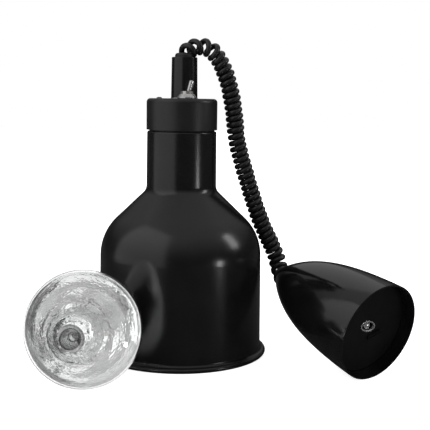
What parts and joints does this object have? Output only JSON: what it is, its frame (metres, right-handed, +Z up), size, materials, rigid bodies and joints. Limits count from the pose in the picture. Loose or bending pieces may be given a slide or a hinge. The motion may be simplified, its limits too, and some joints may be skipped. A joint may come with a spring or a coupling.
{
  "type": "heat lamp",
  "caption": "Pull-down food-warming heat lamp with a spun bell shade, toggle switch, curly cord, ceiling canopy and reflector bulb.",
  "frame": {"origin": "centre of the shade's rim, on the floor the lamp stands on", "axes": "+Z up the shade's axis, +X towards the canopy, +Y away from the switch"},
  "size_m": [0.4254, 0.2898, 0.3753],
  "materials": {
    "painted_black": "semi-gloss black powder coat, broad soft reflections",
    "cap_black": "satin black",
    "post_black": "satin black",
    "canopy_black": "high-gloss black",
    "plate_black": "flat matte black",
    "cord_black": "slightly glossy black rubber sheath",
    "rubber_black": "matte black rubber",
    "chrome": "polished",
    "zinc_steel": "zinc plated",
    "nickel": "nickel plated brass",
    "porcelain": "white glazed porcelain",
    "phenolic": "black moulded resin",
    "terminal_white": "moulded white",
    "brass": "plain brass",
    "lead_brown": "brown insulation",
    "lead_blue": "blue insulation",
    "lead_black": "black insulation",
    "bulb_clear": "clear, smooth",
    "bulb_mirror": "vapour-deposited aluminium, slightly rippled",
    "bulb_wire": "dull wire",
    "cap_alu": "threaded shell",
    "glass_black": "black glass insulator"
  },
  "bodies": {
    "lamp": {"shade": "painted_black", "cap": "cap_black", "cap_gasket": "rubber_black", "clamp_plate": "zinc_steel", "cap_screws": "cap_black", "post_washer": "zinc_steel", "post": "post_black", "post_nut": "zinc_steel", "cord_gland": "rubber_black", "cord_tail": "cord_black", "switch_body": "phenolic", "switch_dress_nut": "nickel", "switch_ring_nut": "nickel", "lampholder": "porcelain", "socket_shell": "nickel", "socket_contact": "brass", "holder_spacers": "zinc_steel", "holder_screws": "zinc_steel", "terminal_block": "terminal_white", "terminal_screws": "zinc_steel", "core_live": "lead_brown", "core_neutral": "lead_blue", "switch_lead": "lead_black", "holder_lead": "lead_blue", "curly_cord": "cord_black", "canopy_shell": "canopy_black", "canopy_bush": "rubber_black", "canopy_back_plate": "plate_black", "canopy_eyelet": "chrome", "suspension_ball": "chrome", "canopy_strap": "zinc_steel", "suspension_nut": "zinc_steel", "cord_clamp": "plate_black"},
    "lever": {"switch_lever": "chrome"},
    "bulb": {"bulb_glass": "bulb_clear", "bulb_reflector": "bulb_mirror", "bulb_stem": "bulb_clear", "bulb_filament": "bulb_wire", "bulb_cap": "cap_alu", "bulb_collar": "cap_alu", "bulb_insulator": "glass_black", "bulb_contact": "brass"}
  },
  "joints": [
    {"name": "switch_throw", "type": "hinge", "parent": "lamp", "child": "lever", "pos_m": [0.0055, -0.027, 0.3048], "axis": [0, 1, 0], "range_deg": [-32, 0]},
    {"name": "bulb_away", "type": "slide", "parent": "lamp", "child": "bulb", "axis": [-1, 0, 0], "range_m": [0, 0.12]}
  ]
}
